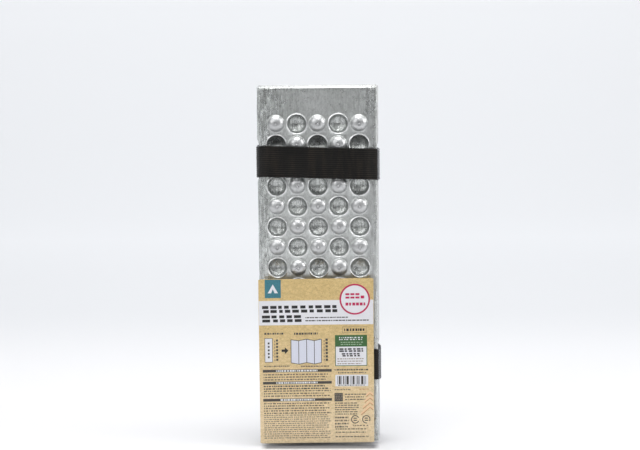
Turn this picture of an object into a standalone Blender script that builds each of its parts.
"""Folding egg-crate foam mat with an aluminium film face, folded in four and held by two elastic loops.

Metres, +Z up. The folded mat stands on its short edge: +Z runs along the creases, -Y is the front
(film face of panel 1), +X is the side where panels 1 and 4 end in a cut edge. The origin is the
middle of panel 3's lower edge. Panels are numbered from the front. Creases 12 and 34 are on the
left (-X), crease 23 on the right (+X).
"""

import math

import bmesh
import bpy
from mathutils import Matrix, Vector

MM = 0.001

# Mat
PANEL_WIDTH = 96.8 * MM  # one panel, crease to crease, open
CREASE_GAP = 2.6 * MM  # pressed strip between two panels, open
MAT_HEIGHT = 295.0 * MM  # along the creases
SHEET = 4.5 * MM  # sheet between the domes, film included
LAYER_PITCH = 10.0 * MM  # mid-plane to mid-plane when folded
FILM = 0.3 * MM  # film skin solid
GAP = 0.3 * MM  # clearance between neighbouring pieces

# Egg-crate relief
CELL = 16.9 * MM
COLUMNS, ROWS = 5, 15
DOME_HEIGHT = 4.5 * MM
DOME_BASE_R = 7.3 * MM
DOME_TOP_R = 4.2 * MM
DOME_SIDES = 8
DOME_SINK = 0.15 * MM  # how far a dome's foot is let into its sheet

# Creases
CREASE_HALF = 0.6 * MM  # half thickness of the pressed foam beside a crease
BEAD_R = 0.55 * MM  # rounded line the two panels turn on
BEAD_SIDES = 10
FLANGE_END_Y = 0.9 * MM  # from a flange's end to its crease axis, along y
FLANGE_END_X = 0.8 * MM  # and along x
FLANGE_STEPS = 7

# Elastic loops
BAND_WIDTH = 25.5 * MM
BAND_THICK = 1.3 * MM
BAND_CLEAR = 0.35 * MM  # from the stack to the inside of a loop
BAND_STEPS_PER_TURN = 28  # segments in a full turn of rounded corners
UPPER_Z = 233.5 * MM
LOWER_Z = 66.0 * MM
UPPER_TILT = -0.031  # rise per unit of x
LOWER_TILT = -0.006
SLACK_X = 50.4 * MM  # how far right the slack lower loop bulges
SLACK_Y = (-12.0 * MM, 2.0 * MM)  # the two ends of the bulge

# Sewn lap at the back of each loop
LAP_WIDTH = 20.0 * MM
LAP_BEVEL = 0.5 * MM
LAP_INSET = 0.6 * MM  # from the band's rims to the lap's
THREAD_R = 0.22 * MM
STITCHES = 12  # on each side of the lap
STITCH_X = 6.5 * MM  # outer ends of the stitches
STITCH_WIDTH = 2.2 * MM
STITCH_INSET = 2.5 * MM  # from the band's rims to the stitching

# Card
CARD_WIDTH = 94.4 * MM
CARD_HEIGHT = 137.8 * MM
CARD_THICK = 0.4 * MM
CARD_CENTRE_X = -2.45 * MM
CARD_BOTTOM = 0.6 * MM
CARD_TILT = 0.0072  # rise per unit of x: it hangs a little crooked
CARD_CORNER_R = 1.2 * MM
CARD_CORNER_STEPS = 3

# Places that follow from the sizes
HALF_PANEL = PANEL_WIDTH / 2
HALF_RELIEF = COLUMNS * CELL / 2
AXIS_X = HALF_PANEL + CREASE_GAP / 2
PANEL_Y = {panel: (panel - 3) * LAYER_PITCH for panel in (1, 2, 3, 4)}
AXES = {
    "12": Vector((-AXIS_X, -1.5 * LAYER_PITCH, 0)),
    "23": Vector((AXIS_X, -0.5 * LAYER_PITCH, 0)),
    "34": Vector((-AXIS_X, 0.5 * LAYER_PITCH, 0)),
}
STACK_FRONT = PANEL_Y[1] - SHEET / 2 - DOME_HEIGHT
STACK_BACK = PANEL_Y[4] + SHEET / 2 + DOME_HEIGHT
LAP_BACK = STACK_BACK + BAND_CLEAR + 2 * BAND_THICK

# Which way along y each panel's film faces
FILM_SIDE = {1: -1, 2: 1, 3: -1, 4: 1}
# Which way along y each end of a panel turns to its crease: 0 is a cut edge
LEFT_TURN = {1: 1, 2: -1, 3: 1, 4: -1}
RIGHT_TURN = {1: 0, 2: 1, 3: -1, 4: 0}

for old in list(bpy.data.objects):
    bpy.data.objects.remove(old, do_unlink=True)


def material(name, colour, roughness, metallic=0.0):
    made = bpy.data.materials.new(name)
    made.use_nodes = True
    shader = made.node_tree.nodes["Principled BSDF"]
    shader.inputs["Base Color"].default_value = (*colour, 1.0)
    shader.inputs["Roughness"].default_value = roughness
    shader.inputs["Metallic"].default_value = metallic
    made.diffuse_color = (*colour, 1.0)
    return made


FOAM = material("white_foam", colour=(0.60, 0.61, 0.61), roughness=0.85)
SILVER = material("silver_film", colour=(0.62, 0.63, 0.64), roughness=0.32, metallic=0.9)
CREASE = material("pressed_crease", colour=(0.45, 0.46, 0.46), roughness=0.6)
ELASTIC = material("black_elastic", colour=(0.018, 0.017, 0.015), roughness=0.8)
THREAD = material("black_thread", colour=(0.03, 0.03, 0.03), roughness=0.6)
KRAFT = material("kraft_card", colour=(0.60, 0.45, 0.22), roughness=0.8)


# Objects and meshes


def empty(name, location, parent=None):
    """An empty at a place in the mat's frame, which it keeps as its "at" property."""
    made = bpy.data.objects.new(name, None)
    bpy.context.scene.collection.objects.link(made)
    made.parent = parent
    made.location = location - (Vector(parent["at"]) if parent else Vector())
    made["at"] = location
    return made


def place(name, mesh, material_, parent, smooth=False):
    """Links a mesh drawn in the mat's frame as an object with its origin at its parent's place."""
    mesh.name = name
    mesh.transform(Matrix.Translation(-Vector(parent["at"])))
    mesh.materials.append(material_)
    made = bpy.data.objects.new(name, mesh)
    bpy.context.scene.collection.objects.link(made)
    made.parent = parent
    if smooth:
        mesh.shade_smooth()
        mesh.set_sharp_from_angle(angle=math.radians(40))
    return made


def unite(target, modifier_name, tool_name, tool_mesh, material_):
    """Joins a hidden helper to the target with a boolean modifier."""
    tool = place(tool_name, tool_mesh, material_, target.parent)
    tool.hide_render = True
    tool.display_type = "WIRE"
    union = target.modifiers.new(modifier_name, "BOOLEAN")
    union.operation = "UNION"
    union.solver = "EXACT"
    union.object = tool


def finish(bm, mesh=None):
    """Writes the bmesh, normals outwards, to this mesh or a new one."""
    mesh = mesh or bpy.data.meshes.new("mesh")
    bmesh.ops.recalc_face_normals(bm, faces=bm.faces)
    bm.to_mesh(mesh)
    bm.free()
    return mesh


def extruded(points, axis, distance):
    """A closed solid: the face through these points, moved along axis 0, 1 or 2."""
    bm = bmesh.new()
    face = bm.faces.new([bm.verts.new(point) for point in points])
    raised = bmesh.ops.extrude_face_region(bm, geom=[face])
    for element in raised["geom"]:
        if isinstance(element, bmesh.types.BMVert):
            element.co[axis] += distance
    return finish(bm)


def full_height(outline):
    """A solid with this XY outline, as tall as the mat."""
    return extruded([(x, y, 0) for x, y in outline], axis=2, distance=MAT_HEIGHT)


# Panel outlines


def half_thickness(turned):
    """Half the sheet's thickness, from the flat (0) to the crease (1)."""
    eased = turned * turned * (3 - 2 * turned)
    return SHEET / 2 + (CREASE_HALF - SHEET / 2) * eased


def panel_end(panel, sign, turn):
    """Middle line of one end of a panel, outwards: a curved flange, or the single point of a cut edge.

    Points are (x, y, normal x, normal y, half thickness), with the normal towards the film.
    """
    middle_y, side = PANEL_Y[panel], FILM_SIDE[panel]
    if not turn:
        return [(sign * HALF_PANEL, middle_y, 0, side, SHEET / 2)]
    # The flange is the start of a quarter ellipse with these half axes.
    rise = LAYER_PITCH / 2
    last_angle = math.acos(1 - (rise - FLANGE_END_Y) / rise)
    reach = (AXIS_X - FLANGE_END_X - HALF_RELIEF) / math.sin(last_angle)
    points = []
    for k in range(FLANGE_STEPS + 1):
        angle = last_angle * k / FLANGE_STEPS
        x = sign * (HALF_RELIEF + reach * math.sin(angle))
        y = middle_y + turn * rise * (1 - math.cos(angle))
        along_x = sign * reach * math.cos(angle)
        along_y = turn * rise * math.sin(angle)
        length = math.hypot(along_x, along_y) * sign  # signed, so the tangent points to +X
        normal_x, normal_y = -side * along_y / length, side * along_x / length
        points.append((x, y, normal_x, normal_y, half_thickness(k / FLANGE_STEPS)))
    return points


def layer(panel, outer, inner):
    """Outline of a layer of the panel between two offsets, each a function of the half thickness."""
    left = panel_end(panel, -1, LEFT_TURN[panel])
    line = left[::-1] + panel_end(panel, 1, RIGHT_TURN[panel])

    def offset(by):
        return [(x + nx * by(half), y + ny * by(half)) for x, y, nx, ny, half in line]

    return offset(outer) + offset(inner)[::-1]


def film_outline(panel):
    return layer(panel, lambda half: half, lambda half: half - FILM)


def foam_outline(panel):
    return layer(panel, lambda half: half - FILM - GAP, lambda half: -half)


def bead_outline(axis, sides):
    """Points round a crease's bead."""
    angles = [math.tau * k / sides for k in range(sides)]
    return [(axis.x + BEAD_R * math.cos(a), axis.y + BEAD_R * math.sin(a)) for a in angles]


def domes(panel, side, parity):
    """Domes on every second cell of one side of a panel, each a closed frustum let into the sheet."""
    bm = bmesh.new()
    tall = DOME_HEIGHT + DOME_SINK
    y = PANEL_Y[panel] + side * SHEET / 2 + side * (tall / 2 - DOME_SINK)
    turn = Matrix.Rotation(math.radians(-90 * side), 4, "X")
    spin = Matrix.Rotation(math.pi / DOME_SIDES, 4, "Z")
    for row in range(ROWS):
        for column in range(COLUMNS):
            if (row + column) % 2 != parity:
                continue
            x = (column - (COLUMNS - 1) / 2) * CELL
            z = MAT_HEIGHT / 2 + ((ROWS - 1) / 2 - row) * CELL
            bmesh.ops.create_cone(
                bm,
                cap_ends=True,
                segments=DOME_SIDES,
                radius1=DOME_BASE_R,
                radius2=DOME_TOP_R,
                depth=tall,
                matrix=Matrix.Translation((x, y, z)) @ turn @ spin,
            )
    return finish(bm)


# Loop outlines


def hull(points):
    """Convex hull, anticlockwise."""
    points = sorted(set(points))

    def turns_left(a, b, c):
        return (b[0] - a[0]) * (c[1] - a[1]) > (b[1] - a[1]) * (c[0] - a[0])

    def chain(run):
        kept = []
        for point in run:
            while len(kept) > 1 and not turns_left(kept[-2], kept[-1], point):
                kept.pop()
            kept.append(point)
        return kept[:-1]

    return chain(points) + chain(reversed(points))


def grown(polygon, distance):
    """The polygon grown by a distance, its corners rounded."""
    made = []
    for i, (x, y) in enumerate(polygon):
        before_x, before_y = polygon[i - 1]
        after_x, after_y = polygon[(i + 1) % len(polygon)]
        first = math.atan2(y - before_y, x - before_x) - math.pi / 2
        second = math.atan2(after_y - y, after_x - x) - math.pi / 2
        turn = (second - first) % (2 * math.pi)
        steps = max(1, round(turn / (2 * math.pi) * BAND_STEPS_PER_TURN))
        for k in range(steps + 1):
            angle = first + turn * k / steps
            made.append((x + distance * math.cos(angle), y + distance * math.sin(angle)))
    return made


def wrapped():
    """What an elastic loop is stretched round: the folded stack with its domes."""
    reach = (COLUMNS - 1) / 2 * CELL + DOME_TOP_R
    points = [(x, y) for x in (-reach, reach) for y in (STACK_FRONT, STACK_BACK)]
    for panel in PANEL_Y:
        points += film_outline(panel) + foam_outline(panel)
    for axis in AXES.values():
        points += bead_outline(axis, sides=4)
    return hull([(round(x, 6), round(y, 6)) for x, y in points])


# Loop pieces


def loop(outline, centre, tilt):
    """A closed elastic band round the outline, made of four rings with equal point counts."""
    inner = grown(outline, BAND_CLEAR)
    outer = grown(outline, BAND_CLEAR + BAND_THICK)
    bm = bmesh.new()
    rings = [
        [bm.verts.new((x, y, centre + tilt * x + end * BAND_WIDTH / 2)) for x, y in run]
        for run, end in ((inner, -1), (outer, -1), (outer, 1), (inner, 1))
    ]
    count = len(inner)
    for k in range(4):
        a, b = rings[k], rings[(k + 1) % 4]
        for i in range(count):
            j = (i + 1) % count
            bm.faces.new((a[i], a[j], b[j], b[i]))
    return finish(bm)


def lap(centre, tilt):
    """The end of the elastic sewn over itself at the back, let into the band."""
    front, back = STACK_BACK + BAND_CLEAR + BAND_THICK / 2, LAP_BACK
    half = LAP_WIDTH / 2
    outline = [
        (-half, front),
        (half, front),
        (half, back - LAP_BEVEL),
        (half - LAP_BEVEL, back),
        (-half + LAP_BEVEL, back),
        (-half, back - LAP_BEVEL),
    ]
    bottom = centre - BAND_WIDTH / 2 + LAP_INSET
    foot = [(x, y, bottom + tilt * x) for x, y in outline]
    return extruded(foot, axis=2, distance=BAND_WIDTH - 2 * LAP_INSET)


def stitching(centre, tilt):
    """Sewing thread in one run: a zigzag up the left side of the lap and down the right."""
    half_height = BAND_WIDTH / 2 - STITCH_INSET
    y = LAP_BACK + GAP + THREAD_R
    points = []
    for side in (-1, 1):
        for k in range(STITCHES + 1):
            x = side * (STITCH_X if k % 2 else STITCH_X - STITCH_WIDTH)
            z = side * (half_height - 2 * half_height * k / STITCHES)
            points.append((x, y, centre + tilt * x + z, 1))

    curve = bpy.data.curves.new("thread", "CURVE")
    curve.dimensions = "3D"
    curve.bevel_depth = THREAD_R
    curve.bevel_resolution = 0
    curve.use_fill_caps = True
    line = curve.splines.new("POLY")
    line.points.add(len(points) - 1)
    for target, point in zip(line.points, points):
        target.co = point
    holder = bpy.data.objects.new("thread", curve)
    bpy.context.scene.collection.objects.link(holder)
    mesh = bpy.data.meshes.new_from_object(holder)
    bpy.data.objects.remove(holder)

    # The end caps come unjoined from the tube.
    bm = bmesh.new()
    bm.from_mesh(mesh)
    bmesh.ops.remove_doubles(bm, verts=bm.verts, dist=1e-6)
    return finish(bm, mesh)


def card():
    """The card's rounded rectangle, just in front of the loops."""
    y = STACK_FRONT - BAND_CLEAR - BAND_THICK - GAP
    right = CARD_WIDTH / 2 - CARD_CORNER_R
    low = CARD_BOTTOM + CARD_CORNER_R
    high = CARD_BOTTOM + CARD_HEIGHT - CARD_CORNER_R
    # Centre x, centre z and start angle of each corner
    corners = ((right, low, -90), (right, high, 0), (-right, high, 90), (-right, low, 180))
    points = []
    for centre_x, centre_z, start in corners:
        for k in range(CARD_CORNER_STEPS + 1):
            angle = math.radians(start + 90 / CARD_CORNER_STEPS * k)
            x = centre_x + CARD_CORNER_R * math.cos(angle)
            z = centre_z + CARD_CORNER_R * math.sin(angle) + CARD_TILT * x
            points.append((CARD_CENTRE_X + x, y, z))
    return extruded(points, axis=1, distance=-CARD_THICK)


# Assembly


def add_panel(panel, frame):
    """Foam and film of one panel; their domes are on opposite faces and alternate cells."""
    side, film_parity = FILM_SIDE[panel], (panel + 1) % 2
    foam = place(f"foam_panel_{panel}", full_height(foam_outline(panel)), FOAM, frame)
    foam_domes = domes(panel, -side, 1 - film_parity)
    unite(foam, "domes", f"foam_domes_tool_{panel}", foam_domes, FOAM)
    film = place(f"film_skin_{panel}", full_height(film_outline(panel)), SILVER, frame)
    film_domes = domes(panel, side, film_parity)
    unite(film, "domes", f"film_domes_tool_{panel}", film_domes, FOAM)


def add_loop(name, outline, centre, tilt, parent):
    """One elastic loop with its lap and stitching."""
    frame = empty(f"{name}_band_frame", Vector(), parent)
    band = place(f"{name}_band", loop(outline, centre, tilt), ELASTIC, frame, smooth=True)
    unite(band, "lap", f"{name}_lap_tool", lap(centre, tilt), ELASTIC)
    place(f"{name}_band_stitching", stitching(centre, tilt), THREAD, frame)


# Panel 3 is the base, and each further panel turns on its crease.
base = empty("panel_3_frame", Vector())
fold_23 = empty("fold_23_axis", AXES["23"], base)
fold_34 = empty("fold_34_axis", AXES["34"], base)
fold_12 = empty("fold_12_axis", AXES["12"], fold_23)

for panel, frame in ((1, fold_12), (2, fold_23), (3, base), (4, fold_34)):
    add_panel(panel, frame)

for name, frame in (("12", fold_12), ("23", fold_23), ("34", fold_34)):
    bead = full_height(bead_outline(AXES[name], BEAD_SIDES))
    place(f"crease_{name}", bead, CREASE, frame, smooth=True)

# The lower loop is a little slack on the right (+X).
tight = wrapped()
slack = hull(tight + [(SLACK_X, y) for y in SLACK_Y])
add_loop("upper", tight, UPPER_Z, UPPER_TILT, base)
add_loop("lower", slack, LOWER_Z, LOWER_TILT, base)

# The card is loose in front of panel 1.
card_frame = empty("card_frame", AXES["12"], fold_12)
place("info_card", card(), KRAFT, card_frame)
